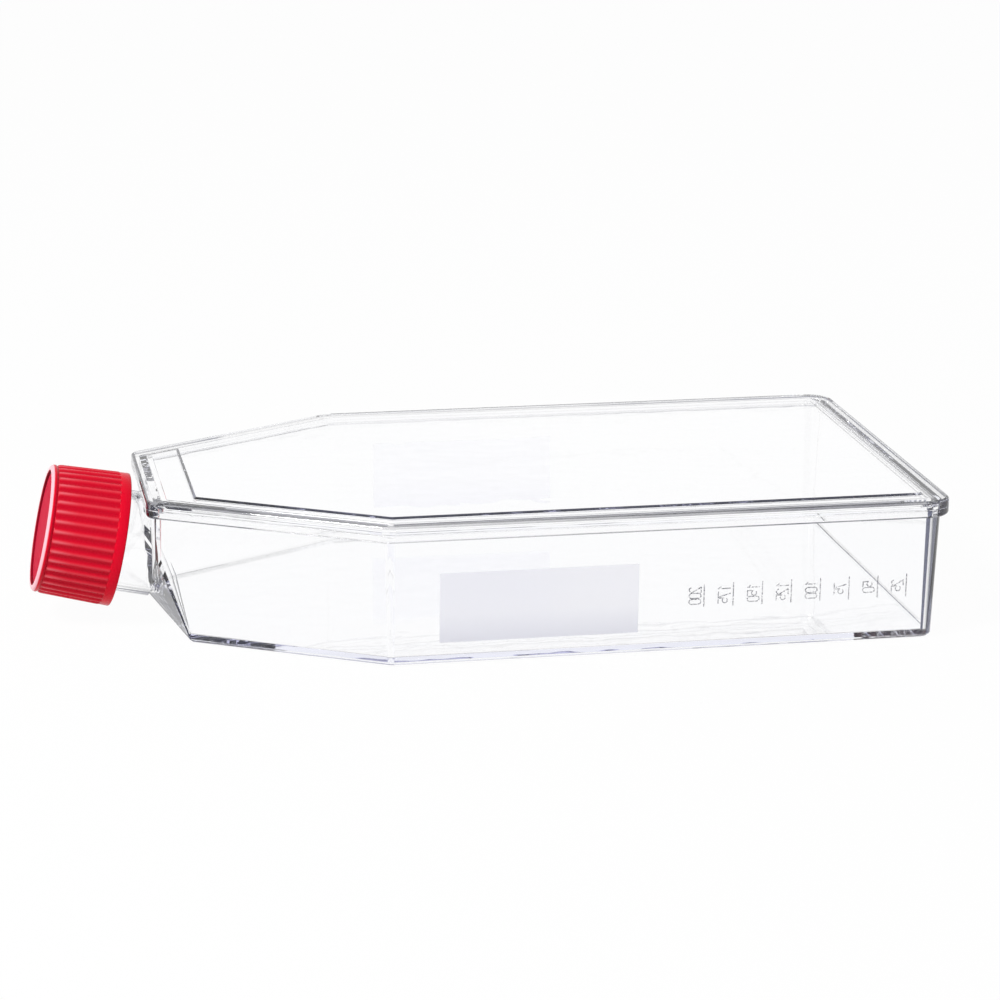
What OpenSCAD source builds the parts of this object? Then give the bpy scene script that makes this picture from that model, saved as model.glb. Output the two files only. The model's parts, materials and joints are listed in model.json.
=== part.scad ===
// Cell culture flask with a canted screw neck, about 175 cm2 of growth area.
// The flask lies on its base: +X points to the closed end, +Z up, and the
// origin is on the underside of the base, half way along the top flange.

/* [Body] */
// Length of the top flange, neck end to closed end
body_length = 197.5; // [170:0.5:240]
// Width of the top flange
body_width = 115; // [96:0.5:140]
// Height from the base to the rim of the top plate
body_height = 36.3; // [35:0.1:48]
// Width of the top flange at the neck end
neck_end_width = 50; // [44:0.5:70]
// Length of the slanted shoulders, measured along the flask
shoulder_length = 55.3; // [40:0.1:70]
// Thickness of the side walls
wall = 1.8; // [1.2:0.1:2.4]
// Thickness of the floor that the cells grow on
floor_t = 1.9; // [1.2:0.1:3]
// Draft of the walls: how far the base lies inside the top of the walls
draft = 1.4; // [0.4:0.1:2.4]
// Radius of the flange's two corners at the closed end
corner_r = 6.5; // [5.5:0.1:9]
// Radius of the flange's two corners at the neck end
neck_corner_r = 3; // [2:0.1:5]
// Chamfer along the lower edge of the base
base_chamfer = 0.7; // [0.3:0.1:1.2]

/* [Flange] */
// How far the flange stands out from the walls
flange_overhang = 2; // [1.2:0.1:3]
// Thickness of the tray's half of the flange
flange_t = 2.2; // [1.6:0.1:3]
// Rounding of the flange's outer edges
flange_edge = 0.5; // [0.2:0.1:0.8]

/* [Pouring end] */
// Distance from the neck end of the flange to the edge of the floor
floor_set_back = 9.8; // [8:0.1:14]
// Height at which the end wall's upright corners turn into the slanted facets
facet_height = 21.4; // [16:0.1:26]
// Width of the ramp where it meets the neck
ramp_top_width = 2; // [1:0.5:8]

/* [Top plate] */
// Thickness of the top plate's rim
plate_t = 2.2; // [1.6:0.1:3]
// Height of the raised panel above the rim
panel_rise = 0.5; // [0.3:0.1:1]
// Width of the rim around the raised panel
rim_width = 6.4; // [5.6:0.1:10]
// Width of the rim at the neck end
neck_rim_width = 11.8; // [8:0.1:16]
// Depth of the locating tongue under the plate
tongue_depth = 1.1; // [0.6:0.1:2]
// Thickness of the locating tongue
tongue_t = 1.2; // [0.8:0.1:1.6]
// Gap between the tongue and the tray's walls
tongue_gap = 0.15; // [0.05:0.05:0.3]

/* [Neck] */
// Upward cant of the neck in degrees
neck_angle = 12; // [5:0.5:14]
// Outer radius of the neck
neck_r = 13; // [11:0.1:14]
// Thickness of the neck's wall
neck_wall = 1.8; // [1.4:0.1:2.4]
// Distance between the top of the neck and the flange, at the end wall
neck_drop = 0.4; // [0.2:0.1:2]
// Rounding of the neck's mouth
mouth_edge = 0.5; // [0.2:0.1:0.8]

/* [Thread] */
// Advance of the cap for each full turn
thread_lead = 4; // [3.6:0.1:5]
// Height of the thread's ridge
thread_h = 1.6; // [1.2:0.1:1.8]
// Width of a ridge at its root
ridge_root = 1.9; // [1.4:0.1:1.9]
// Width of a ridge at its crest
ridge_crest = 0.9; // [0.5:0.1:1]
// Turns of thread on the neck and in the cap
thread_turns = 1.25; // [1:0.25:1.5]
// Distance from the mouth to the end of the neck's thread
thread_from_mouth = 6.5; // [5.5:0.1:7.5]
// Radial gap between a crest and the root that it runs in
thread_gap = 0.4; // [0.3:0.05:0.6]

/* [Cap] */
// Length of the cap
cap_length = 20; // [18:0.5:26]
// Gap between the closed cap and the flange
cap_gap = 1.85; // [1:0.05:5]
// Thickness of the cap's skirt between its bore and the foot of its ribs
cap_wall = 1.55; // [1.2:0.05:2.2]
// How much narrower the skirt is at the end face than at the open end, in radius
cap_taper = 0.8; // [0:0.1:1]
// Thickness of the cap's end
cap_top = 1.6; // [1.2:0.1:2.4]
// Depth of the recess in the cap's end face
face_recess = 0.6; // [0.4:0.1:1.4]
// Width of the flat rim around the recess
face_rim = 0.5; // [0.3:0.1:2]
// Rounding between the end face and the skirt
cap_edge = 1; // [0.6:0.1:2]
// Number of grip ribs
rib_count = 40; // [30:1:54]
// Height of a grip rib
rib_h = 0.55; // [0.3:0.05:0.8]
// Share of each rib's pitch that the rib fills at its foot
rib_foot = 0.72; // [0.5:0.02:0.8]
// Share of each rib's pitch that the rib fills at its crest
rib_crest = 0.4; // [0.2:0.02:0.46]
// Length of the smooth collar at the open end
collar_length = 2.8; // [2:0.1:4]
// Length of the smooth band at the end face, rounding included
face_band = 2.1; // [2:0.1:4]
// Chamfer of the collar's outer edge
collar_edge = 0.3; // [0.1:0.1:0.6]

/* [Liner] */
// Thickness of the sealing liner in the cap
liner_t = 1; // [0.8:0.1:1.6]
// How far the liner reaches past the neck's outer radius
liner_reach = 1.2; // [1:0.1:1.4]
// Gap between the liner and the faces that hold it
liner_gap = 0.1; // [0.05:0.01:0.15]
// Height of the bead that keeps the liner in the cap
bead_h = 0.5; // [0.4:0.1:0.8]
// How far the bead reaches under the liner's edge
bead_catch = 0.3; // [0.2:0.05:0.5]

/* [Printed areas] */
// Height of each frosted writing area
label_height = 17.8; // [12:0.1:19]
// Distance from the shoulders to the writing areas
label_from_shoulder = 12.9; // [8:0.1:20]
// Distance from the writing areas to the largest number of the scale
label_to_scale = 12.8; // [8:0.1:30]
// Height of the front writing area's lower edge
front_label_z = 5.5; // [4:0.1:8]
// Height of the back writing area's lower edge
back_label_z = 8.2; // [4:0.1:10]
// Thickness of the printed layers
ink_t = 0.12; // [0.08:0.02:0.2]

/* [Graduations] */
// Number of divisions
division_count = 8; // [4:1:8]
// Distance between two divisions
division_pitch = 7.42; // [6:0.02:7.6]
// Distance from the closed end of the flange to the first division
first_division = 11.2; // [9:0.1:14]
// Height of the graduations' middle above the base
scale_z = 14.2; // [12:0.1:18]
// Length of a division line
tick_length = 6; // [4:0.1:8]
// Height of a numeral
digit_h = 3; // [2:0.1:3.2]
// Width of a numeral
digit_w = 1.3; // [1:0.1:1.5]
// Width of the printed lines
stroke = 0.26; // [0.16:0.02:0.3]

/* [Hidden] */

eps = 0.01;                                        // thickness of a hull's slabs
division_ml = 25;                                  // volume of one division
least_r = 0.8;                                     // smallest corner radius of the plan
facet_drop = 0.4;                                  // fall of a facet's upper corner for each mm of inset
ink_gap = 0.01;                                    // keeps a printed layer off the wall
plate_z = body_height - plate_t;                   // weld line of tray and top plate
flange_z = plate_z - flange_t;                     // underside of the flange
shoulder_angle = atan((body_width - neck_end_width) / 2 / shoulder_length);
draft_angle = atan(draft / plate_z);

// Neck: s is the distance along its axis, counted from the end wall
neck_half = neck_r / cos(neck_angle);
neck_axis_z = flange_z - neck_drop - neck_half;
pour_z = neck_axis_z - neck_half + neck_drop;      // where the ramp meets the neck
ramp_angle = atan(pour_z / (floor_set_back - flange_overhang));
bore_r = neck_r - neck_wall;
cap_bore_r = neck_r + thread_h + thread_gap;
cap_foot_r = cap_bore_r + cap_wall;
cap_r = cap_foot_r + rib_h;
trim = 0.2;                                        // how far the ribs are drawn past the cap's outside
cap_end_r = cap_r - cap_taper;
cap_depth = cap_length - face_recess - cap_top;
cap_s = (flange_overhang + cap_gap + cap_r * sin(neck_angle)) / cos(neck_angle); // closed cap's open end
liner_s = cap_s + cap_depth - liner_gap - liner_t;
liner_r = neck_r + liner_reach;
neck_length = liner_s - liner_gap;
neck_thread_s = neck_length - thread_from_mouth - thread_turns * thread_lead;
bore_step = cap_depth - thread_from_mouth + ridge_root; // where the cap's bore starts to narrow
thread_embed = 0.5;                                // how far a ridge's root is sunk in its wall
thread_steps = round(thread_turns * 24);
thread_fade = 3;                                   // steps over which a ridge rises at its ends

// Printed layers
scale_gap = 0.8;                                   // from a numeral to its division line
digit_gap = 0.25;                                  // between two numerals
label_x = shoulder_length + label_from_shoulder;
scale_start = body_length - first_division - division_pitch * (division_count - 1) - digit_h - scale_gap;
label_length = scale_start - label_to_scale - label_x;

// Inset of the wall's outer face from the flange's edge, at a height z
function wall_inset(z) = flange_overhang + draft * (1 - z / plate_z);

// Half width of the plan at a distance x from the neck end, inset by d
function shoulder_y(x, d) =
    neck_end_width / 2 + x * tan(shoulder_angle) - d / cos(shoulder_angle);

// Where the inset shoulder meets the inset side
function shoulder_x(d) =
    (body_width / 2 - d - neck_end_width / 2 + d / cos(shoulder_angle)) / tan(shoulder_angle);

// Corners of the plan, anticlockwise, inset by d and cut off at x = neck_x
function plan_corners(d, neck_x) = [
    [neck_x, -shoulder_y(neck_x, d)],
    [shoulder_x(d), d - body_width / 2],
    [body_length - d, d - body_width / 2],
    [body_length - d, body_width / 2 - d],
    [shoulder_x(d), body_width / 2 - d],
    [neck_x, shoulder_y(neck_x, d)]];

function plan_radii(d) = let (
    far = max(corner_r - d, least_r),
    near = max(neck_corner_r - d, least_r))
    [near, far, far, far, far, near];

// How far a rounding of radius r cuts back the corner of a shoulder and the neck end
function corner_cut(r) = r / cos((90 - shoulder_angle) / 2) - r;

function unit(v) = v / norm(v);

// Arc of radius r that rounds the corner b between a and c
function corner_arc(a, b, c, r, steps) = let (
    u = unit(a - b),
    w = unit(c - b),
    half = acos(u * w) / 2,
    centre = b + unit(u + w) * r / sin(half),
    start = b + u * r / tan(half) - centre,
    end = b + w * r / tan(half) - centre,
    from = atan2(start.y, start.x),
    turn = (atan2(end.y, end.x) - from + 540) % 360 - 180)
    [for (i = [0 : steps]) centre + r * [cos(from + turn * i / steps), sin(from + turn * i / steps)]];

// Plan outline with rounded corners
function plan_outline(d, neck_x) = let (
    p = plan_corners(d, neck_x),
    r = plan_radii(d),
    steps = [4, 2, 8, 8, 2, 4],
    n = len(p))
    [for (i = [0 : n - 1])
        each corner_arc(p[(i + n - 1) % n], p[i], p[(i + 1) % n], r[i], steps[i])];

// Slab of the plan, inset by d and cut off at neck_x, between two heights
module plan_slab(d, neck_x, z_low, z_high) {
    translate([-body_length / 2, 0, z_low])
        linear_extrude(height = z_high - z_low)
            polygon(plan_outline(d, neck_x));
}

// Body of the flask, inset by d from the outside of its walls
module body_form(d, z_low, z_high, chamfer) {
    end_x = flange_overhang + d;
    floor_x = floor_set_back + d / sin(ramp_angle) - z_low / tan(ramp_angle);
    ramp_z = (floor_set_back - end_x) * tan(ramp_angle) + d / cos(ramp_angle);
    corner_z = facet_height - d * facet_drop;
    corner_d = wall_inset(corner_z) + d;
    corner_y = shoulder_y(end_x, corner_d) - corner_cut(plan_radii(corner_d)[0]);
    hull() {
        plan_slab(wall_inset(z_high) + d, end_x, z_high - eps, z_high);
        plan_slab(wall_inset(z_low) + d, floor_x, z_low + chamfer, z_low + chamfer + eps);
        plan_slab(wall_inset(z_low) + d + chamfer, floor_x + chamfer, z_low, z_low + eps);
        translate([end_x - body_length / 2, -corner_y, corner_z])
            cube([eps, 2 * corner_y, eps]);
        translate([end_x - body_length / 2, -ramp_top_width / 2, ramp_z])
            cube([eps, ramp_top_width, eps]);
    }
}

// Moves a child from the neck's own axis, which points out of the mouth, into place
module on_neck(s) {
    translate([flange_overhang - body_length / 2, 0, neck_axis_z])
        rotate([0, neck_angle - 90, 0])
            translate([0, 0, s])
                children();
}

// Helical ridge that starts at s = 0, with a root and a crest radius
module thread_ridge(root_r, crest_r) {
    rings = [for (i = [0 : thread_steps]) let (
        angle = 360 * thread_turns * i / thread_steps,
        s = thread_lead * thread_turns * i / thread_steps,
        rise = min(1, (i + 0.5) / thread_fade, (thread_steps - i + 0.5) / thread_fade),
        r = root_r + (crest_r - root_r) * rise)
        for (p = [[root_r, -ridge_root / 2], [r, -ridge_crest / 2], [r, ridge_crest / 2], [root_r, ridge_root / 2]])
            [p[0] * cos(angle), p[0] * sin(angle), s + p[1]]];
    last = thread_steps * 4;
    outward = crest_r > root_r;
    sides = [for (i = [0 : thread_steps - 1], k = [0 : 3]) let (
        a = i * 4 + k,
        b = i * 4 + (k + 1) % 4,
        quad = [a, b, b + 4, a + 4])
        each outward ? [[quad[0], quad[1], quad[2]], [quad[0], quad[2], quad[3]]]
                     : [[quad[2], quad[1], quad[0]], [quad[3], quad[2], quad[0]]]];
    ends = outward ? [[3, 2, 1, 0], [last, last + 1, last + 2, last + 3]]
                   : [[0, 1, 2, 3], [last + 3, last + 2, last + 1, last]];
    polyhedron(points = rings, faces = concat(sides, ends));
}

// Tray: floor, walls, pouring end, neck and flange, moulded in one piece
module flask_tray() {
    color([0.86, 0.9, 0.96, 0.45]) {
        difference() {
            union() {
                body_form(0, 0, plate_z, base_chamfer);
                hull() {
                    plan_slab(0, 0, flange_z + flange_edge, plate_z);
                    plan_slab(flange_edge, flange_edge, flange_z, flange_z + eps);
                }
                on_neck(-wall) neck_tube();
            }
            body_form(wall, floor_t, plate_z + 1, 0);
            on_neck(-3 * wall) cylinder(r = bore_r, h = neck_length + 6 * wall, $fn = 96);
        }
        on_neck(neck_thread_s) thread_ridge(neck_r - thread_embed, neck_r + thread_h);
    }
}

// Outside of the neck, from the end wall to the rounded mouth
module neck_tube() {
    length = neck_length + wall;
    rotate_extrude($fn = 96)
        polygon([[0, 0], [neck_r, 0], [neck_r, length - mouth_edge],
                 [neck_r - mouth_edge, length], [0, length]]);
}

// Top plate: rim, raised panel and locating tongue
module top_plate() {
    tongue_out = flange_overhang + wall + tongue_gap;
    panel_in = rim_width + panel_rise;
    color([0.86, 0.9, 0.96, 0.45])
        difference() {
            union() {
                hull() {
                    plan_slab(0, 0, plate_z, body_height - flange_edge);
                    plan_slab(flange_edge, flange_edge, body_height - eps, body_height);
                }
                hull() {
                    plan_slab(rim_width, neck_rim_width, body_height - eps, body_height);
                    plan_slab(panel_in, neck_rim_width + panel_rise, body_height + panel_rise - eps, body_height + panel_rise);
                }
                plan_slab(tongue_out, tongue_out, plate_z - tongue_depth, plate_z + eps);
            }
            plan_slab(tongue_out + tongue_t, tongue_out + tongue_t, plate_z - tongue_depth - 1, plate_z);
            plan_slab(panel_in, neck_rim_width + panel_rise, plate_z - eps, plate_z + panel_rise);
        }
}

// Profile of one grip rib after another around the cap
function rib_outline() = [for (i = [0 : rib_count - 1], k = [0 : 3]) let (
    share = [-rib_foot, -rib_crest, rib_crest, rib_foot][k] / 2,
    r = k == 0 || k == 3 ? cap_foot_r : cap_r + trim,
    angle = (i + share) * 360 / rib_count)
    [r * cos(angle), r * sin(angle)]];

// Outline of the cap's outside, from its open end to its end face
function cap_profile() = [
    [0, 0], [cap_r - collar_edge, 0], [cap_r, collar_edge],
    for (a = [0 : 15 : 90]) [cap_end_r - cap_edge + cap_edge * cos(a), cap_length - cap_edge + cap_edge * sin(a)],
    [0, cap_length]];

// Screw cap: ribbed skirt, smooth collar, recessed end face, thread and liner bead
module screw_cap() {
    color([0.84, 0.03, 0.1])
        on_neck(cap_s) {
            difference() {
                intersection() {
                    rotate_extrude($fn = 120) polygon(cap_profile());
                    union() {
                        linear_extrude(height = cap_length, scale = cap_end_r / cap_r)
                            polygon(rib_outline());
                        cylinder(r = cap_r + trim, h = collar_length, $fn = 120);
                        translate([0, 0, cap_length - face_band])
                            cylinder(r = cap_r + trim, h = face_band, $fn = 120);
                    }
                }
                rotate_extrude($fn = 96)
                    polygon([[0, -trim], [cap_bore_r, -trim], [cap_bore_r, bore_step],
                             [liner_r + liner_gap, cap_depth - liner_t], [liner_r + liner_gap, cap_depth], [0, cap_depth]]);
                translate([0, 0, cap_length - face_recess])
                    cylinder(r = cap_end_r - cap_edge - face_rim, h = face_recess + trim, $fn = 96);
            }
            liner_bead();
            translate([0, 0, neck_thread_s - cap_s - thread_lead / 2])
                thread_ridge(cap_bore_r + thread_embed, neck_r + thread_gap);
        }
}

// Inward bead in the cap, just under the liner
module liner_bead() {
    bead_z = cap_depth - liner_t - 2 * liner_gap - bead_h;
    translate([0, 0, bead_z])
        difference() {
            cylinder(r = cap_bore_r + bead_h, h = bead_h, $fn = 96);
            translate([0, 0, -eps]) cylinder(r = liner_r - bead_catch, h = bead_h + 2 * eps, $fn = 96);
        }
}

// Sealing liner that lies on the neck's mouth
module cap_liner() {
    color([0.93, 0.93, 0.9])
        on_neck(liner_s) cylinder(r = liner_r, h = liner_t, $fn = 96);
}

// Lays a child on the front wall: its x runs along the flask and its y up the wall
module on_front_wall(x, z) {
    translate([x - body_length / 2, wall_inset(z) - body_width / 2 - ink_gap, z])
        rotate([90 + draft_angle, 0, 0])
            children();
}

// Frosted writing area on the front wall
module front_writing_area() {
    color([0.93, 0.93, 0.97])
        on_front_wall(label_x, front_label_z)
            cube([label_length, label_height, ink_t]);
}

// Frosted writing area on the back wall
module back_writing_area() {
    color([0.93, 0.93, 0.97])
        mirror([0, 1, 0])
            on_front_wall(label_x, back_label_z)
                cube([label_length, label_height, ink_t]);
}

// Straight stroke of a numeral between two points
module bar(a, b) {
    translate(a)
        rotate(atan2(b.y - a.y, b.x - a.x))
            translate([-stroke / 2, -stroke / 2])
                square([norm(b - a) + stroke, stroke]);
}

// Curved stroke: an arc about a centre, from one angle to another
module bow(centre, r, from, to) {
    outer = r + stroke / 2;
    inner = r - stroke / 2;
    steps = 10;
    angles = [for (i = [0 : steps]) from + (to - from) * i / steps];
    translate(centre)
        polygon(concat([for (a = angles) outer * [cos(a), sin(a)]],
                       [for (i = [steps : -1 : 0]) inner * [cos(angles[i]), sin(angles[i])]]));
}

// Numeral between 0 and 9 that the scale needs, in a box digit_w by digit_h
module numeral(n) {
    r = digit_w / 2;
    top = digit_h - r;
    if (n == 0) {
        bow([r, top], r, 0, 180);
        bow([r, r], r, 180, 360);
        bar([0, r], [0, top]);
        bar([digit_w, r], [digit_w, top]);
    }
    if (n == 1) {
        bar([r, 0], [r, digit_h]);
        bar([r, digit_h], [r * 0.4, digit_h * 0.8]);
    }
    if (n == 2) {
        bow([r, top], r, 170, -40);
        bar([r + r * cos(40), top - r * sin(40)], [0, 0]);
        bar([0, 0], [digit_w, 0]);
    }
    if (n == 5) {
        bar([0, digit_h], [digit_w, digit_h]);
        bar([0, digit_h], [0, digit_h * 0.56]);
        bow([r, digit_h * 0.56 - r * 0.55], r, 140, -140);
    }
    if (n == 7) {
        bar([0, digit_h], [digit_w, digit_h]);
        bar([digit_w, digit_h], [r * 0.7, 0]);
    }
}

// Digits of a whole number, last digit first
function digits(n) = n < 10 ? [n] : concat([n % 10], digits(floor(n / 10)));

// One division: a line with its volume above it, mirrored, for a flask stood on its closed end
module division(volume) {
    row = digits(volume);
    step = digit_w + digit_gap;
    width = len(row) * step - digit_gap;
    translate([-tick_length / 2, -stroke / 2]) square([tick_length, stroke]);
    for (i = [0 : len(row) - 1])
        translate([i * step + digit_w - width / 2, scale_gap])
            mirror([1, 0]) numeral(row[i]);
}

// Printed graduations, which read the right way round through the flask, from its back
module graduations() {
    color([0.5, 0.5, 0.55])
        for (i = [1 : division_count])
            on_front_wall(body_length - first_division - division_pitch * (i - 1), scale_z)
                rotate(90)
                    linear_extrude(height = ink_t) division(i * division_ml);
}

flask_tray();
top_plate();
screw_cap();
cap_liner();
front_writing_area();
back_writing_area();
graduations();
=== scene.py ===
import json
import math

import bmesh
import bpy
from mathutils import Matrix, Vector


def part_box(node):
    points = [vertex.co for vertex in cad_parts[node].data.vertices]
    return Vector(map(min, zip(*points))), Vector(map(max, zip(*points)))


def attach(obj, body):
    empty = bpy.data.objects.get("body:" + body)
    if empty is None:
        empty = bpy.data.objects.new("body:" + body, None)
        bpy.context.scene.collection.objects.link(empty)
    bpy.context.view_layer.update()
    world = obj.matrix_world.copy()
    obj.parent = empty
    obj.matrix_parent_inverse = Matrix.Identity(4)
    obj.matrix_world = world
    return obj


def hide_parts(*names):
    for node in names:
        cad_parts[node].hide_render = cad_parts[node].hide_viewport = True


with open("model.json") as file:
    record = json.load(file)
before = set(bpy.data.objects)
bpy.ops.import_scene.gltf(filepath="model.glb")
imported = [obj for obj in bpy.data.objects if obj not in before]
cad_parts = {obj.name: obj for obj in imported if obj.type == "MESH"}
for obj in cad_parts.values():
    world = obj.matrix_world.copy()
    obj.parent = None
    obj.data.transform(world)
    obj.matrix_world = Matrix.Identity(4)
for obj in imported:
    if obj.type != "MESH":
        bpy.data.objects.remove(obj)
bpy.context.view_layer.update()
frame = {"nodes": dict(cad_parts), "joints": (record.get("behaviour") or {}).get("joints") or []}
mm = 0.001
print("frame loaded")


# helpers for node trees

def addNode(tree, kind, values=None, **settings):
    node = tree.nodes.new(kind)
    for key, value in settings.items():
        setattr(node, key, value)
    for socket, value in (values or {}).items():
        if isinstance(value, bpy.types.NodeSocket):
            tree.links.new(value, node.inputs[socket])
        else:
            node.inputs[socket].default_value = value
    return node


def calc(tree, operation, *values):
    return addNode(tree, "ShaderNodeMath", dict(enumerate(values)), operation=operation).outputs[0]


def ramp(tree, value, low, high, start=0.0, end=1.0):
    return addNode(tree, "ShaderNodeMapRange", {
        "Value": value,
        "From Min": low,
        "From Max": high,
        "To Min": start,
        "To Max": end,
    }).outputs[0]


def mixColour(tree, share, first, second):
    return addNode(tree, "ShaderNodeMix", {0: share, 6: first, 7: second}, data_type="RGBA").outputs[2]


def noise(tree, place, scale, detail):
    return addNode(tree, "ShaderNodeTexNoise", {"Vector": place, "Scale": scale, "Detail": detail}).outputs["Fac"]


def centred(tree, value, amount):
    return calc(tree, "MULTIPLY", calc(tree, "SUBTRACT", value, 0.5), amount)


def faceMark(tree, name):
    return addNode(tree, "ShaderNodeAttribute", attribute_name=name).outputs["Fac"]


def objectPlace(tree):
    return addNode(tree, "ShaderNodeTexCoord").outputs["Object"]


def parts(tree, vector):
    return addNode(tree, "ShaderNodeSeparateXYZ", {0: vector}).outputs


def addSockets(tree, way, kinds):
    for label, kind in kinds.items():
        tree.interface.new_socket(label, in_out=way, socket_type="NodeSocket" + kind)


def newMaterial(name):
    material = bpy.data.materials.new(name)
    material.use_nodes = True
    material.node_tree.nodes.clear()
    return material, material.node_tree


def finishMaterial(tree, shader):
    addNode(tree, "ShaderNodeOutputMaterial", {"Surface": shader.outputs[0]})


# shared effect: colour that drifts a little and fine grain in roughness and height

def makeMouldedGrain():
    tree = bpy.data.node_groups.new("mouldedGrain", "ShaderNodeTree")
    addSockets(tree, "INPUT", {
        "Colour": "Color",
        "Drift": "Float",
        "Grain Scale": "Float",
        "Roughness": "Float",
        "Roughness Spread": "Float",
    })
    addSockets(tree, "OUTPUT", {"Colour": "Color", "Roughness": "Float", "Height": "Float"})
    given = addNode(tree, "NodeGroupInput").outputs
    place = objectPlace(tree)
    broad = noise(tree, place, 60.0, 3.0)
    fine = noise(tree, place, given["Grain Scale"], 4.0)
    value = calc(tree, "ADD", centred(tree, broad, given["Drift"]), 1.0)
    colour = addNode(tree, "ShaderNodeHueSaturation", {"Color": given["Colour"], "Value": value})
    addNode(tree, "NodeGroupOutput", {
        "Colour": colour.outputs["Color"],
        "Roughness": calc(tree, "ADD", centred(tree, fine, given["Roughness Spread"]), given["Roughness"]),
        "Height": fine,
    })
    return tree


mouldedGrain = makeMouldedGrain()


def addGrain(tree, values):
    return addNode(tree, "ShaderNodeGroup", {
        "Colour": values["colour"],
        "Drift": values["drift"],
        "Grain Scale": values["grainScale"],
        "Roughness": values["roughness"],
        "Roughness Spread": values["spread"],
    }, node_tree=mouldedGrain).outputs


# materials

clearPlastic = {
    "colour": (0.996, 0.997, 1.0, 1),
    "paintedEdgeShadeColour": (0.012, 0.014, 0.036, 1),  # painted shade: the dark blue painted along the edges
    "ior": 1.59,
    "roughness": 0.0,
    "cornerFrom": 0.2,         # how far a rounded corner turns away before painted shade darkens it
    "cornerTo": 0.34,
    "cornerDark": 0.98,
    "neckFrom": 0.42,          # the same painted shade for the neck's underside
    "neckTo": 0.66,
    "neckDark": 0.95,
    "edgeDrift": 0.7,          # how much the painted shade of an edge varies along it
    "driftScale": 45.0,
    "edgeFade": 0.4,           # share of that painted shade that is left at the shoulders
    "fadeFrom": -0.05,         # where it is back to full, along the flask in metres
    "fadeTo": 0.06,
    "pouringFrom": -0.075,     # and full again at the pouring end
    "pouringTo": -0.07,
    "waveScale": 90.0,         # slow waves that moulding leaves in the walls
    "waveDepth": 0.00003,
}

capPlastic = {
    "colour": (0.70, 0.0010, 0.020, 1),
    # painted highlight: pale pink on the rounded rim and the ridge tops
    "highlightColour": (0.93, 0.50, 0.56, 1),
    # painted shade: dark red in the rib valleys, where the ribs run out, and in the recess
    "shadeColour": (0.10, 0.002, 0.012, 1),
    # how much painted shade the rib valleys get
    "valleyShadeAmount": 0.26,
    # how much painted highlight the ridge tops get
    "ridgeHighlightAmount": 0.085,
    "drift": 0.06,
    "grainScale": 2600.0,
    "roughness": 0.28,
    "spread": 0.14,
    "grainDepth": 0.00002,
    "ior": 1.49,
    "specular": 0.09,
}

capFace = capPlastic | {       # the recessed end face, moulded against a sparked steel
    "colour": (0.56, 0.004, 0.036, 1),
    "valleyShadeAmount": 0.0,
    "ridgeHighlightAmount": 0.0,
    "roughness": 0.6,
    "grainDepth": 0.00003,
    "specular": 0.03,
}

frontPrint = {
    "colour": (0.978, 0.975, 1.0, 1),
    "lowColour": (0.86, 0.86, 0.91, 1),
    "lowShare": 0.4,           # share of the height over which it gets paler
    "drift": 0.02,
    "grainScale": 5200.0,
    "roughness": 0.45,
    "spread": 0.2,
    "ior": 1.2,
}

backPrint = frontPrint | {
    "colour": (0.975, 0.975, 1.0, 1),
    "lowColour": (0.93, 0.93, 0.98, 1),
    "roughness": 0.75,
}

scaleInk = {
    "colour": (0.10, 0.10, 0.14, 1),
    "drift": 0.3,
    "grainScale": 3000.0,
    "roughness": 0.6,
    "spread": 0.2,
    "alpha": 0.31,
    "speckle": 3.4,            # worn specks in the ink
    "thinnest": 0.02,
    "thickest": 0.95,
}

linerFoam = {
    "colour": (0.86, 0.86, 0.83, 1),
    "drift": 0.05,
    "grainScale": 1800.0,
    "roughness": 0.7,
    "spread": 0.2,
    "grainDepth": 0.00005,
}


def makeClearPlastic():
    values = clearPlastic
    material, tree = newMaterial("clearPolystyrene")
    place = objectPlace(tree)
    along = parts(tree, place)["X"]
    turned = addNode(tree, "ShaderNodeLayerWeight", {"Blend": 0.5}).outputs["Facing"]
    within = addNode(tree, "ShaderNodeNewGeometry").outputs["Backfacing"]

    # painted shade: dark mixed into the glass colour along the marked edges, varying along them and fading at the
    # shoulders
    broad = noise(tree, place, values["driftScale"], 2.0)
    drift = calc(tree, "ADD", centred(tree, broad, values["edgeDrift"]), 1.0)
    shoulders = ramp(tree, along, values["fadeFrom"], values["fadeTo"], values["edgeFade"])
    pouring = ramp(tree, along, values["pouringFrom"], values["pouringTo"], 1.0, 0.0)
    drift = calc(tree, "MULTIPLY", drift, calc(tree, "MAXIMUM", shoulders, pouring))
    shade = calc(tree, "MULTIPLY", faceMark(tree, "edgeShade"), drift)

    # painted shade at the rounded corners seen from outside, at the inner corners seen from within, and under the neck
    corner = ramp(tree, turned, values["cornerFrom"], values["cornerTo"], 0.0, values["cornerDark"])
    corner = calc(tree, "MULTIPLY", faceMark(tree, "outerCornerShade"), corner)
    outline = ramp(tree, turned, values["neckFrom"], values["neckTo"], 0.0, values["neckDark"])
    for dark in (
        calc(tree, "MULTIPLY", corner, calc(tree, "SUBTRACT", 1.0, within)),
        calc(tree, "MULTIPLY", faceMark(tree, "innerCornerShade"), within),
        calc(tree, "MULTIPLY", faceMark(tree, "neckUndersideShade"), outline),
    ):
        shade = calc(tree, "MAXIMUM", shade, dark)

    wave = noise(tree, place, values["waveScale"], 1.0)
    glass = addNode(tree, "ShaderNodeBsdfPrincipled", {
        "Base Color": mixColour(tree, shade, values["colour"], values["paintedEdgeShadeColour"]),
        "Normal": addNode(tree, "ShaderNodeBump", {"Height": wave, "Distance": values["waveDepth"]}).outputs[0],
        "Roughness": values["roughness"],
        "IOR": values["ior"],
        "Transmission Weight": 1.0,
    })
    finishMaterial(tree, glass)
    return material


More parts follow.
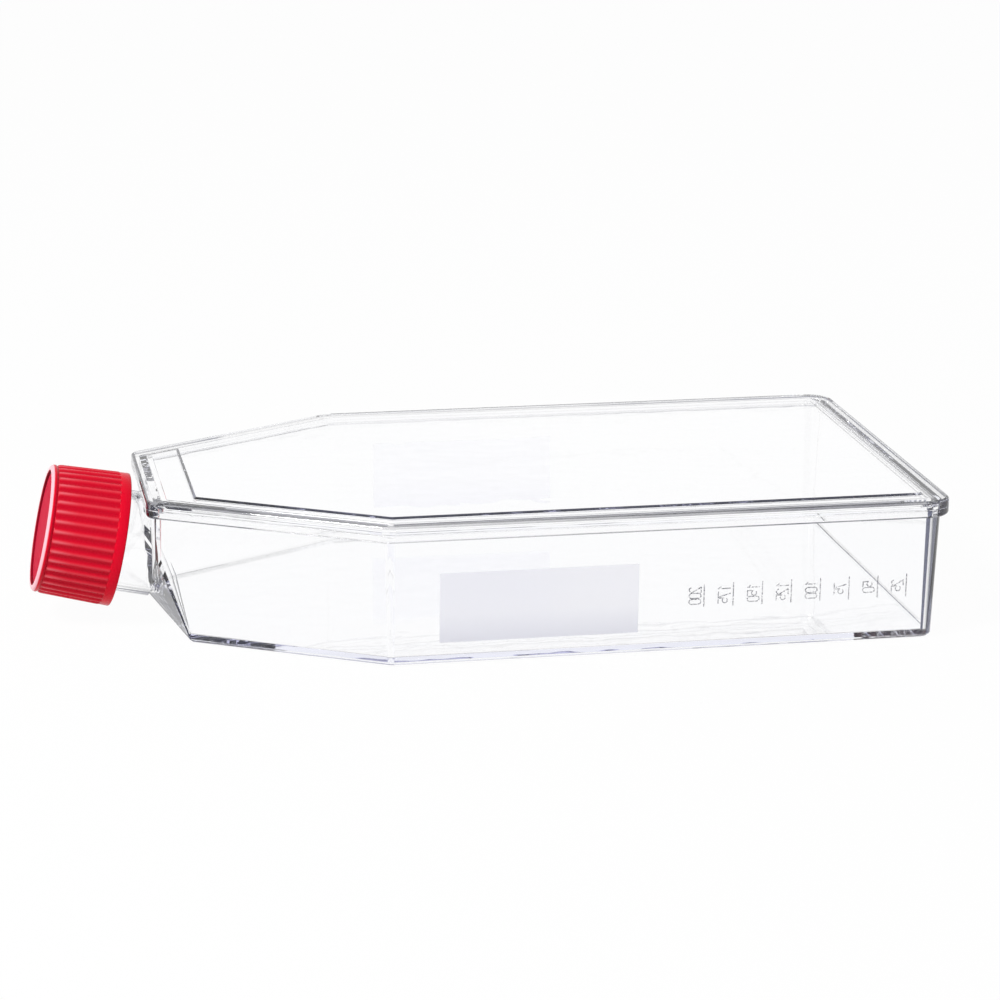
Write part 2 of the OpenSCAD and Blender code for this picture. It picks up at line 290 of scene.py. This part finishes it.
def makeCapPlastic(name, values):
    material, tree = newMaterial(name)
    grain = addGrain(tree, values)
    colour = grain["Colour"]
    # painted highlight on the rim and ridge tops, painted shade in the valleys and the recess
    for mark, amount, tint in (
        ("rimHighlightShare", 1.0, "highlightColour"),
        ("valleyShadeShare", values["valleyShadeAmount"], "shadeColour"),
        ("ridgeHighlightShare", values["ridgeHighlightAmount"], "highlightColour"),
        ("shadeShare", 1.0, "shadeColour"),
    ):
        colour = mixColour(tree, calc(tree, "MULTIPLY", faceMark(tree, mark), amount), colour, values[tint])
    bump = {"Height": grain["Height"], "Strength": 0.35, "Distance": values["grainDepth"]}
    shader = addNode(tree, "ShaderNodeBsdfPrincipled", {
        "Base Color": colour,
        "Roughness": grain["Roughness"],
        "Normal": addNode(tree, "ShaderNodeBump", bump).outputs[0],
        "IOR": values["ior"],
        "Specular IOR Level": values["specular"],
    })
    finishMaterial(tree, shader)
    return material


def makeFrostedPrint(name, values, low, high):
    material, tree = newMaterial(name)
    grain = addGrain(tree, values)
    height = parts(tree, objectPlace(tree))["Z"]
    rise = ramp(tree, height, low, low + (high - low) * values["lowShare"])
    shader = addNode(tree, "ShaderNodeBsdfPrincipled", {
        "Base Color": mixColour(tree, rise, values["lowColour"], grain["Colour"]),
        "Roughness": grain["Roughness"],
        "IOR": values["ior"],
        "Transmission Weight": 1.0,
    })
    finishMaterial(tree, shader)
    return material


def makeScaleInk():
    values = scaleInk
    material, tree = newMaterial("scaleInk")
    grain = addGrain(tree, values)
    alpha = calc(tree, "ADD", centred(tree, grain["Height"], values["speckle"]), values["alpha"])
    limits = {0: alpha, "Min": values["thinnest"], "Max": values["thickest"]}
    shader = addNode(tree, "ShaderNodeBsdfPrincipled", {
        "Base Color": grain["Colour"],
        "Roughness": grain["Roughness"],
        "Alpha": addNode(tree, "ShaderNodeClamp", limits).outputs[0],
    })
    finishMaterial(tree, shader)
    return material


def makeLinerFoam():
    material, tree = newMaterial("linerFoam")
    grain = addGrain(tree, linerFoam)
    bump = {"Height": grain["Height"], "Strength": 0.5, "Distance": linerFoam["grainDepth"]}
    shader = addNode(tree, "ShaderNodeBsdfPrincipled", {
        "Base Color": grain["Colour"],
        "Roughness": grain["Roughness"],
        "Normal": addNode(tree, "ShaderNodeBump", bump).outputs[0],
    })
    finishMaterial(tree, shader)
    return material


clearMaterial = makeClearPlastic()
capMaterial = makeCapPlastic("redCapPlastic", capPlastic)
capFaceMaterial = makeCapPlastic("redCapFace", capFace)
inkMaterial = makeScaleInk()
linerMaterial = makeLinerFoam()
print("materials made")


# meshes

def addObject(name, bm, material):
    mesh = bpy.data.meshes.new(name)
    bm.to_mesh(mesh)
    bm.free()
    mesh.materials.append(material)
    obj = bpy.data.objects.new(name, mesh)
    bpy.context.collection.objects.link(obj)
    return obj


def openMesh(mesh):
    bm = bmesh.new()
    bm.from_mesh(mesh)
    return bm


def closeMesh(bm, mesh):
    bm.to_mesh(mesh)
    bm.free()


def joinFlatFaces(bm):
    bmesh.ops.remove_doubles(bm, verts=bm.verts, dist=2e-6)
    bmesh.ops.dissolve_limit(bm, angle_limit=math.radians(0.3), verts=bm.verts, edges=bm.edges)


def bakeModifiers(obj):
    graph = bpy.context.evaluated_depsgraph_get()
    baked = bpy.data.meshes.new_from_object(obj.evaluated_get(graph))
    plain = obj.data
    obj.modifiers.clear()
    obj.data = baked
    bpy.data.meshes.remove(plain)
    baked.name = obj.name


def unite(obj, other):
    union = obj.modifiers.new("union", "BOOLEAN")
    union.operation = "UNION"
    union.solver = "EXACT"
    union.object = other
    bakeModifiers(obj)
    bpy.data.objects.remove(other)


# the neck's own place: z runs along its axis

turnJoint = next(j for j in frame["joints"] if j["name"] == "cap_turn")
neckAxis = Vector(turnJoint["axis"]).normalized()
sideways = Vector((0, 1, 0))
neckPlace = Matrix((sideways.cross(neckAxis), sideways, neckAxis)).transposed().to_4x4()
neckPlace.translation = Vector(turnJoint["pos_m"])
toNeck = neckPlace.inverted()


# clear body: the tray and the top plate welded on it, with their edges eased

clearBody = {
    "edgeRadius": 0.25 * mm,
    "facetRadius": 0.5 * mm,   # round the facets below the neck
    "edgeSegments": 2,
    "sharpFrom": 24,           # degrees between two faces that get an eased edge
    "shortest": 0.3 * mm,      # edges shorter than this stay sharp
    "weldHeight": 34.1 * mm,   # where tray and plate meet
    "weldGroove": 0.1 * mm,
    "weldClear": 0.3 * mm,     # nothing but the groove is eased this near the weld
    "flatFrom": 6e-5,          # square metres; smaller faces are strips of a curve
    "facetStrip": 3e-6,        # and smaller ones the strips round the facets
    "facetsFrom": -88.5 * mm,  # the facets lie beyond this, along the flask
    "facetsTop": 30 * mm,
    "middle": Vector((0, 0, 18 * mm)),
    "neckRadius": 13.0 * mm,
    "neckLength": 8 * mm,      # of the plain neck between the flask and the cap
    "neckReach": 15.5 * mm,    # closer to the neck's axis, edges stay as moulded
    "cornerFrom": 90 * mm,     # the upright corners lie further out than this
    "cornerStrip": 3e-5,
    "innerHeights": (2.2 * mm, 33.5 * mm),
}

paintedShadeLines = {                  # painted shade lines along the edges: how dark each is painted, and the heights in mm they lie between
    "rimTop": (0.9, 35.6, 36.29),
    "panelFoot": (0.3, 36.29, 36.5),
    "wallTop": (0.9, 31.4, 31.9),
    "flangeUnder": (1.0, 31.9, 32.5),
    "facets": (1.0, -0.1, 30.0),
    "floorInside": (0.6, 1.8, 2.6),
    "floorEnd": (1.0, 1.8, 2.6),
}


def neckDistance(point):
    return (toNeck @ point).xy.length


def pointsOut(normal, point):
    return normal.dot(point - clearBody["middle"]) > 0


def nearFacets(point):
    return point.x < clearBody["facetsFrom"] and point.z < clearBody["facetsTop"]


def fromWeld(vert):
    return abs(vert.co.z - clearBody["weldHeight"])


def grooveWidth(edge):
    turned = abs(edge.link_faces[0].normal.z - edge.link_faces[1].normal.z) > 0.5
    return float(turned and all(fromWeld(v) < 0.02 * mm for v in edge.verts))


def edgeWidth(edge):
    if min(neckDistance(v.co) for v in edge.verts) < clearBody["neckReach"]:
        return 0.0
    if all(fromWeld(v) < clearBody["weldClear"] for v in edge.verts) or edge.calc_length() < clearBody["shortest"]:
        return 0.0
    middle = (edge.verts[0].co + edge.verts[1].co) / 2
    if nearFacets(middle) and pointsOut(sum((f.normal for f in edge.link_faces), Vector()), middle):
        return 1.0
    return clearBody["edgeRadius"] / clearBody["facetRadius"]


def easeEdges(obj, width, segments, wanted):
    bm = openMesh(obj.data)
    layers = bm.edges.layers.float
    weight = layers.get("bevel_weight_edge") or layers.new("bevel_weight_edge")
    for edge in bm.edges:
        sharp = edge.is_manifold and edge.calc_face_angle() > math.radians(clearBody["sharpFrom"])
        edge[weight] = wanted(edge) if sharp else 0.0
    closeMesh(bm, obj.data)
    bevel = obj.modifiers.new("easedEdges", "BEVEL")
    bevel.limit_method = "WEIGHT"
    bevel.width = width
    bevel.segments = segments
    bevel.use_clamp_overlap = False
    bevel.material = 1
    bakeModifiers(obj)


def plainCopy(node, name):
    bm = openMesh(frame["nodes"][node].data)
    joinFlatFaces(bm)
    obj = addObject(name, bm, clearMaterial)
    easeEdges(obj, clearBody["weldGroove"], 1, grooveWidth)
    return obj


# how dark a face near an edge is painted as shade
def lineShade(face):
    middle, normal = face.center, face.normal
    if face.area > clearBody["flatFrom"] or neckDistance(middle) < clearBody["neckReach"]:
        return 0.0
    names = []
    if middle.z > clearBody["facetsTop"]:
        if 0.1 < abs(normal.z) < 0.99:
            names = ["rimTop", "panelFoot"] + (["wallTop", "flangeUnder"] if normal.z < 0 else [])
    elif nearFacets(middle) and face.area < clearBody["facetStrip"]:
        names = ["facets"] if pointsOut(normal, middle) else []
    elif face.material_index == 1:
        atEnd = middle.x >= clearBody["cornerFrom"] and abs(normal.x) >= abs(normal.y)
        names = ["floorEnd"] if atEnd else ["floorInside"]
    for name in names:
        dark, low, high = paintedShadeLines[name]
        if low < middle.z / mm < high:
            return dark
    return 0.0


# faces that take painted shade at the rounded upright corners, seen from outside
def isRoundedCorner(face):
    middle, normal = face.center, face.normal
    outside = normal.x * middle.x > 0 and normal.y * middle.y > 0
    turned = min(abs(normal.x), abs(normal.y)) > 0.05 and abs(normal.z) < 0.3
    return outside and turned and abs(middle.x) > clearBody["cornerFrom"] and face.area < clearBody["cornerStrip"]


# faces that take painted shade at the inner upright corners, seen from within the plastic
def isInnerCorner(face):
    middle, normal = face.center, face.normal
    low, high = clearBody["innerHeights"]
    inside = middle.x > clearBody["cornerFrom"] and low < middle.z < high and normal.x < 0 and middle.y * normal.y < 0
    return inside and abs(normal.x) < 0.4 and face.area < clearBody["flatFrom"]


# faces that take painted shade on the neck's underside as it turns away
def isNeckUnderside(face):
    onNeck = toNeck @ face.center
    outer = abs(onNeck.xy.length - clearBody["neckRadius"]) < 0.3 * mm and 0 < onNeck.z < clearBody["neckLength"]
    fromAxis = face.center - neckPlace @ Vector((0, 0, onNeck.z))
    return outer and face.normal.z < -0.2 and face.normal.dot(fromAxis) > 0


# masks for the painted shade on the clear body
bodyMarks = {
    "edgeShade": lineShade,
    "outerCornerShade": isRoundedCorner,
    "innerCornerShade": isInnerCorner,
    "neckUndersideShade": isNeckUnderside,
}


def markFaces(mesh):
    for name, share in bodyMarks.items():
        mark = mesh.attributes.new(name, "FLOAT", "FACE")
        for face in mesh.polygons:
            mark.data[face.index].value = float(share(face))
    for face in mesh.polygons:  # the bevel's own material number is only needed above
        face.material_index = 0
    while len(mesh.materials) > 1:
        mesh.materials.pop()


def makeClearBody():
    body = plainCopy("flask_tray", "clearBody")
    unite(body, plainCopy("top_plate", "clearPlate"))
    bm = openMesh(body.data)
    joinFlatFaces(bm)
    closeMesh(bm, body.data)
    body.data.materials.append(clearMaterial)
    easeEdges(body, clearBody["facetRadius"], clearBody["edgeSegments"], edgeWidth)
    body.data.attributes.remove(body.data.attributes["custom_normal"])
    body.data.set_sharp_from_angle(angle=math.radians(clearBody["sharpFrom"]))
    for face in body.data.polygons:
        face.use_smooth = face.area < clearBody["flatFrom"]
    markFaces(body.data)
    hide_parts("flask_tray", "top_plate")
    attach(body, "flask")
    return body


makeClearBody()
print("clear body made")


# screw cap

cap = {
    "openEnd": 7.571,          # along the neck's axis from its root, in mm as all below
    "length": 20.0,
    "openRadius": 17.1,
    "endRadius": 16.25,
    "ribCount": 40,
    "ribHeight": 0.5,
    "ribSharpness": 1.2,       # 1 is an even wave, more makes narrow ribs
    "ribsFrom": 2.9,
    "ribsTo": 16.9,
    "ribSteps": 10,
    "roundness": 1.0,
    "boreRadius": 15.0,
    "boreTop": 12.3,
    "topThickness": 2.2,
    "threadFrom": 3.1,
    "threadLead": 4.0,
    "threadTurns": 1.25,
    "threadCrestRadius": 13.4,
    "threadRootWidth": 1.9,
    "threadCrestWidth": 0.9,
    "recess": 0.6,
    "recessRim": 2.2,
}


def footRadius(s):
    slope = (cap["openRadius"] - cap["endRadius"]) / cap["length"]
    return cap["openRadius"] - cap["ribHeight"] - slope * s + 0.1


def capProfile():
    # radius, distance from the open end, then the shares of ribs, painted rim highlight and painted shade
    top, edge, end = cap["length"], cap["roundness"], cap["endRadius"]
    points = [                 # open end and collar
        (cap["boreRadius"], 0.0, 0, 0, 0),
        (16.8, 0.0, 0, 0, 0),
        (17.02, 0.1, 0, 0, 0),
        (17.1, 0.3, 0, 0, 0),
        (17.05, 1.4, 0, 0, 0),
        (17.0, 2.35, 0, 0, 0),
        (16.93, 2.55, 0, 0, 0),
        (footRadius(2.75), 2.7, 1, 0, 0),
        (footRadius(cap["ribsFrom"]), cap["ribsFrom"], 1, 0, 0),
    ]
    for i in range(1, cap["ribSteps"] + 1):
        s = cap["ribsFrom"] + (cap["ribsTo"] - cap["ribsFrom"]) * i / cap["ribSteps"]
        points.append((footRadius(s), s, 1, 0, 0))
    for s, share in ((17.3, 0.97), (17.7, 0.87), (18.0, 0.68), (18.2, 0.4), (18.3, 0)):  # the ribs run out, with painted shade where they end
        points.append((footRadius(s), s, share, 0, 0.3 * (1 - share)))
    points.append((end, top - edge - 0.3, 0, 0, 0.3))
    for i in range(7):         # rounded edge, most of it painted pale as a highlight
        a = math.radians(90 * i / 6)
        pale = 0 if i < 2 else 1
        points.append((end - edge + edge * math.cos(a), top - edge + edge * math.sin(a), 0, pale, 0))
    rim = end - edge - 0.5
    face = top - cap["recess"]
    points += [                # rim with painted highlight, groove with painted shade, and recessed face
        (rim + 0.12, top, 0, 1, 0),
        (rim + 0.03, top - 0.04, 0, 0.6, 0),
        (rim, top - 0.15, 0, 0, 0.6),
        (rim, top - 0.75, 0, 0, 0.8),
        (rim - 0.12, top - 0.85, 0, 0, 1),
        (rim - 0.5, top - 0.85, 0, 0, 0.9),
        (rim - 0.75, top - 0.62, 0, 0, 0.2),
        (rim - 0.9, face, 0, 0, 0),
        (rim * 0.5, face, 0, 0, 0),
        (0, face, 0, 0, 0),
    ]
    return points


def capInside():
    depth = cap["length"] - cap["topThickness"]
    points = [                 # top, the liner's seat, the bead that holds it, and the bore
        (0, depth),
        (14.3, depth),
        (14.3, depth - 1.0),
        (14.36, depth - 1.2),
        (13.9, depth - 1.3),
        (13.9, depth - 1.6),
        (14.4, depth - 1.75),
        (cap["boreRadius"], cap["boreTop"]),
    ]
    return [(r, s, 0, 0, 0) for r, s in points]


def revolve(name, profile, segments, material):
    bm = bmesh.new()
    layers = [bm.verts.layers.float.new(label) for label in ("ribShare", "rimHighlightShare", "shadeShare")]
    rings = []
    for radius, s, *shares in profile:
        ring = []
        for i in range(1 if radius == 0 else segments):
            a = 2 * math.pi * i / segments
            v = bm.verts.new((radius * mm * math.cos(a), radius * mm * math.sin(a), s * mm))
            for layer, share in zip(layers, shares):
                v[layer] = share
            ring.append(v)
        rings.append(ring)
    for low, high in zip(rings, rings[1:] + rings[:1]):
        for i in range(segments if len(low) + len(high) > 2 else 0):
            j = (i + 1) % segments
            corners = [low[i % len(low)], low[j % len(low)], high[j % len(high)], high[i % len(high)]]
            bm.faces.new(list(dict.fromkeys(corners)))
    bmesh.ops.recalc_face_normals(bm, faces=bm.faces)
    return addObject(name, bm, material)


# node trees for the cap

def storeShare(tree, geometry, name, value):
    values = {"Geometry": geometry, "Name": name, "Value": value}
    return addNode(tree, "GeometryNodeStoreNamedAttribute", values, data_type="FLOAT", domain="POINT").outputs[0]


def endTree(tree, geometry, finish):
    real = addNode(tree, "GeometryNodeRealizeInstances", {"Geometry": geometry})
    painted = addNode(tree, "GeometryNodeSetMaterial", {"Geometry": real.outputs[0], "Material": finish})
    addNode(tree, "NodeGroupOutput", {0: painted.outputs[0]})


def makeRibTree():
    tree = bpy.data.node_groups.new("gripRibs", "GeometryNodeTree")
    addSockets(tree, "INPUT", {
        "Geometry": "Geometry",
        "Rib Count": "Int",
        "Rib Height": "Float",
        "Rib Sharpness": "Float",
        "Finish": "Material",
    })
    addSockets(tree, "OUTPUT", {"Geometry": "Geometry"})
    given = addNode(tree, "NodeGroupInput").outputs
    place = addNode(tree, "GeometryNodeInputPosition").outputs[0]
    x, y, z = parts(tree, place)
    share = addNode(tree, "GeometryNodeInputNamedAttribute", {"Name": "ribShare"}, data_type="FLOAT").outputs["Attribute"]

    # a wave round the cap, 1 on each ridge and 0 in each valley
    turn = calc(tree, "DIVIDE", calc(tree, "ARCTAN2", y, x), 2 * math.pi)
    across = calc(tree, "SUBTRACT", calc(tree, "FRACT", calc(tree, "MULTIPLY", turn, given["Rib Count"])), 0.5)
    cosine = calc(tree, "COSINE", calc(tree, "MULTIPLY", across, 2 * math.pi))
    wave = calc(tree, "MULTIPLY_ADD", cosine, 0.5, 0.5)
    roundTop = calc(tree, "POWER", wave, given["Rib Sharpness"])

    # painted shade in the valleys, and painted highlights on ridges that get paler near the end face
    valley = calc(tree, "MULTIPLY", calc(tree, "SUBTRACT", 1.0, roundTop), share)
    nearFace = ramp(tree, z, 12.5 * mm, 17.2 * mm, 1.0, 3.2)
    ridge = calc(tree, "MULTIPLY", calc(tree, "MULTIPLY", calc(tree, "POWER", wave, 5.0), share), nearFace)
    marked = storeShare(tree, given["Geometry"], "valleyShadeShare", valley)
    marked = storeShare(tree, marked, "ridgeHighlightShare", ridge)

    lift = calc(tree, "MULTIPLY", calc(tree, "MULTIPLY", roundTop, given["Rib Height"]), share)
    flat = addNode(tree, "ShaderNodeVectorMath", {0: place, 1: (1, 1, 0)}, operation="MULTIPLY").outputs[0]
    outward = addNode(tree, "ShaderNodeVectorMath", {0: flat}, operation="NORMALIZE").outputs[0]
    offset = addNode(tree, "ShaderNodeVectorMath", {0: outward, "Scale": lift}, operation="SCALE").outputs[0]
    moved = addNode(tree, "GeometryNodeSetPosition", {"Geometry": marked, "Offset": offset})
    endTree(tree, moved.outputs[0], given["Finish"])
    return tree


def makeThreadTree():
    tree = bpy.data.node_groups.new("capThread", "GeometryNodeTree")
    sizes = ("Turns", "Lead", "Root Radius", "Crest Radius", "Root Width", "Crest Width", "Start")
    addSockets(tree, "INPUT", {"Geometry": "Geometry"} | dict.fromkeys(sizes, "Float") | {"Finish": "Material"})
    addSockets(tree, "OUTPUT", {"Geometry": "Geometry"})
    given = addNode(tree, "NodeGroupInput").outputs
    helix = addNode(tree, "GeometryNodeCurveSpiral", {
        "Resolution": 48,
        "Rotations": given["Turns"],
        "Start Radius": given["Root Radius"],
        "End Radius": given["Root Radius"],
        "Height": calc(tree, "MULTIPLY", given["Turns"], given["Lead"]),
    })
    upright = addNode(tree, "GeometryNodeSetCurveNormal", {"Curve": helix.outputs[0]}, mode="Z_UP")
    along = addNode(tree, "GeometryNodeSplineParameter").outputs["Factor"]
    toEnd = calc(tree, "MINIMUM", along, calc(tree, "SUBTRACT", 1.0, along))
    fade = ramp(tree, toEnd, 0.0, 0.1, 0.15)   # the thread runs out thin at both ends
    depth = calc(tree, "SUBTRACT", given["Root Radius"], given["Crest Radius"])
    corners = {}
    for i, (x, width, side) in enumerate((
        (0.0, "Root Width", -0.5),
        (depth, "Crest Width", -0.5),
        (depth, "Crest Width", 0.5),
        (0.0, "Root Width", 0.5),
    )):
        corner = {"X": x, "Y": calc(tree, "MULTIPLY", given[width], side)}
        corners["Point %d" % (i + 1)] = addNode(tree, "ShaderNodeCombineXYZ", corner).outputs[0]
    ridge = addNode(tree, "GeometryNodeCurvePrimitiveQuadrilateral", corners, mode="POINTS")
    swept = addNode(tree, "GeometryNodeCurveToMesh", {
        "Curve": upright.outputs[0],
        "Profile Curve": ridge.outputs[0],
        "Scale": fade,
        "Fill Caps": True,
    })
    start = addNode(tree, "ShaderNodeCombineXYZ", {"Z": given["Start"]}).outputs[0]
    placed = addNode(tree, "GeometryNodeTransform", {"Geometry": swept.outputs[0], "Translation": start})
    endTree(tree, placed.outputs[0], given["Finish"])
    return tree


def setInput(modifier, label, value):
    for item in modifier.node_group.interface.items_tree:
        if item.item_type == "SOCKET" and item.in_out == "INPUT" and item.name == label:
            modifier[item.identifier] = value


def grow(obj, name, tree, values):
    modifier = obj.modifiers.new(name, "NODES")
    modifier.node_group = tree
    for label, value in values.items():
        setInput(modifier, label, value)
    bakeModifiers(obj)


def makeCapThread():
    obj = addObject("capThread", bmesh.new(), capMaterial)
    grow(obj, "capThread", makeThreadTree(), {
        "Turns": cap["threadTurns"],
        "Lead": cap["threadLead"] * mm,
        "Root Radius": (cap["boreRadius"] + 0.5) * mm,  # its foot stands in the wall
        "Crest Radius": cap["threadCrestRadius"] * mm,
        "Root Width": cap["threadRootWidth"] * mm,
        "Crest Width": cap["threadCrestWidth"] * mm,
        "Start": cap["threadFrom"] * mm,
        "Finish": capMaterial,
    })
    bm = openMesh(obj.data)
    bmesh.ops.recalc_face_normals(bm, faces=bm.faces)
    closeMesh(bm, obj.data)
    return obj


def makeCap():
    obj = revolve("ribbedCap", capProfile() + capInside(), cap["ribCount"] * 12, capMaterial)
    unite(obj, makeCapThread())
    grow(obj, "gripRibs", makeRibTree(), {
        "Rib Count": cap["ribCount"],
        "Rib Height": cap["ribHeight"] * mm,
        "Rib Sharpness": cap["ribSharpness"],
        "Finish": capMaterial,
    })
    obj.data.materials.append(capFaceMaterial)
    faceHeight = (cap["length"] - cap["recess"] - 0.05) * mm
    faceRadius = (cap["endRadius"] - cap["recessRim"]) * mm
    for face in obj.data.polygons:
        face.material_index = int(face.center.z > faceHeight and face.center.xy.length < faceRadius)
    bm = openMesh(obj.data)
    bmesh.ops.remove_doubles(bm, verts=bm.verts, dist=1e-7)
    place = neckPlace @ Matrix.Translation((0, 0, cap["openEnd"] * mm))
    bmesh.ops.transform(bm, matrix=place, verts=bm.verts)
    bmesh.ops.recalc_face_normals(bm, faces=bm.faces)
    closeMesh(bm, obj.data)
    obj.data.shade_smooth()
    obj.data.set_sharp_from_angle(angle=math.radians(50))
    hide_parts("screw_cap")
    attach(obj, "cap")
    return obj


makeCap()
print("cap made")


# liner, prints and scale keep their CAD meshes

def paint(node, material):
    for slot in frame["nodes"][node].material_slots:
        slot.material = material


paint("cap_liner", linerMaterial)
for node, values in (("front_writing_area", frontPrint), ("back_writing_area", backPrint)):
    low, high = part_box(node)
    paint(node, makeFrostedPrint(node + "_print", values, low[2], high[2]))
paint("graduations", inkMaterial)
print("liner and prints painted")


# camera, light and surroundings

camera = {
    "place": (-0.1565, -0.7944, 0.2494),
    "yaw": 0.188,
    "pitch": 0.270,
    "roll": -0.005,
    "lens": 116.35,
    "sensor": 36,
}

keyLamp = {
    "place": (-0.7, -0.45, 0.85),
    "aim": (-0.08, 0, 0.02),
    "size": 0.25,
    "watts": 11,
}

studio = {
    "shallowTint": (1.0, 1.0, 1.0, 1),
    "middleTint": (0.89, 0.90, 0.985, 1),
    "deepTint": (0.014, 0.016, 0.042, 1),   # what light picks up after many turns inside the plastic
    "middleTurns": (7.0, 11.0),
    "deepTurns": (13.0, 15.0),
    "cornerTint": (0.55, 0.55, 0.78, 1),    # pale cards high in the corners of the tent
    "cornerSlant": (0.45, 0.25),
    "cornerHeight": (0.3, 0.4),
    "otherLight": 0.42,                     # of the world, on all that isn't glass
    "paper": (0.8, 0.8, 0.8, 1),
    "paperSeen": 0.97,
    "tableHalf": 3,
    "tableGap": 0.3 * mm,
    "turns": 48,                            # how often light may turn inside the plastic
}


def addCamera():
    data = bpy.data.cameras.new("camera")
    obj = bpy.data.objects.new("camera", data)
    bpy.context.collection.objects.link(obj)
    bpy.context.scene.camera = obj
    data.lens = camera["lens"]
    data.sensor_width = camera["sensor"]
    data.clip_start = 0.01
    data.clip_end = 20
    turn = Matrix.Rotation(-camera["yaw"], 4, "Z")
    turn = turn @ Matrix.Rotation(math.pi / 2 - camera["pitch"], 4, "X")
    turn = turn @ Matrix.Rotation(-camera["roll"], 4, "Z")
    obj.matrix_world = Matrix.Translation(camera["place"]) @ turn


def addKeyLamp():
    data = bpy.data.lights.new("keyLamp", "AREA")
    data.shape = "SQUARE"
    data.size = keyLamp["size"]
    data.energy = keyLamp["watts"]
    obj = bpy.data.objects.new("keyLamp", data)
    bpy.context.collection.objects.link(obj)
    obj.location = keyLamp["place"]
    aim = Vector(keyLamp["aim"]) - Vector(keyLamp["place"])
    obj.rotation_euler = aim.to_track_quat("-Z", "Y").to_euler()


def seenDirectly(tree, path):
    through = calc(tree, "MAXIMUM", path["Is Glossy Ray"], path["Is Transmission Ray"])
    return calc(tree, "MAXIMUM", path["Is Camera Ray"], through)


def longPathTint(tree, path, last):
    middle = ramp(tree, path["Ray Depth"], *studio["middleTurns"])
    deep = ramp(tree, path["Ray Depth"], *studio["deepTurns"])
    first = mixColour(tree, middle, studio["shallowTint"], studio["middleTint"])
    return mixColour(tree, deep, first, last)


def addWorld():
    world = bpy.data.worlds.new("whiteStudio")
    bpy.context.scene.world = world
    world.use_nodes = True
    tree = world.node_tree
    tree.nodes.clear()
    path = addNode(tree, "ShaderNodeLightPath").outputs
    x, y, z = parts(tree, addNode(tree, "ShaderNodeTexCoord").outputs["Generated"])
    slant = calc(tree, "SUBTRACT", calc(tree, "ABSOLUTE", x), calc(tree, "ABSOLUTE", y))
    corner = ramp(tree, calc(tree, "ABSOLUTE", slant), *studio["cornerSlant"])
    card = calc(tree, "MULTIPLY", corner, ramp(tree, z, *studio["cornerHeight"]))
    last = mixColour(tree, card, studio["deepTint"], studio["cornerTint"])
    light = addNode(tree, "ShaderNodeBackground", {
        "Color": longPathTint(tree, path, last),
        "Strength": ramp(tree, seenDirectly(tree, path), 0.0, 1.0, studio["otherLight"], 1.0),
    })
    addNode(tree, "ShaderNodeOutputWorld", {"Surface": light.outputs[0]})


def addFloor():
    bm = bmesh.new()
    bmesh.ops.create_grid(bm, x_segments=1, y_segments=1, size=studio["tableHalf"])
    bmesh.ops.translate(bm, vec=(0, 0, -studio["tableGap"]), verts=bm.verts)
    material, tree = newMaterial("whiteTable")
    path = addNode(tree, "ShaderNodeLightPath").outputs
    paper = addNode(tree, "ShaderNodeBsdfDiffuse", {"Color": studio["paper"]})
    glow = addNode(tree, "ShaderNodeEmission", {"Color": longPathTint(tree, path, studio["deepTint"]), "Strength": 1.0})
    seen = calc(tree, "MULTIPLY", seenDirectly(tree, path), studio["paperSeen"])
    finishMaterial(tree, addNode(tree, "ShaderNodeMixShader", {0: seen, 1: paper.outputs[0], 2: glow.outputs[0]}))
    addObject("floor", bm, material)


addCamera()
addKeyLamp()
addWorld()
addFloor()
bpy.context.scene.view_settings.view_transform = "Standard"
for limit in ("max_bounces", "glossy_bounces", "transmission_bounces"):
    setattr(bpy.context.scene.cycles, limit, studio["turns"])
print("studio set")
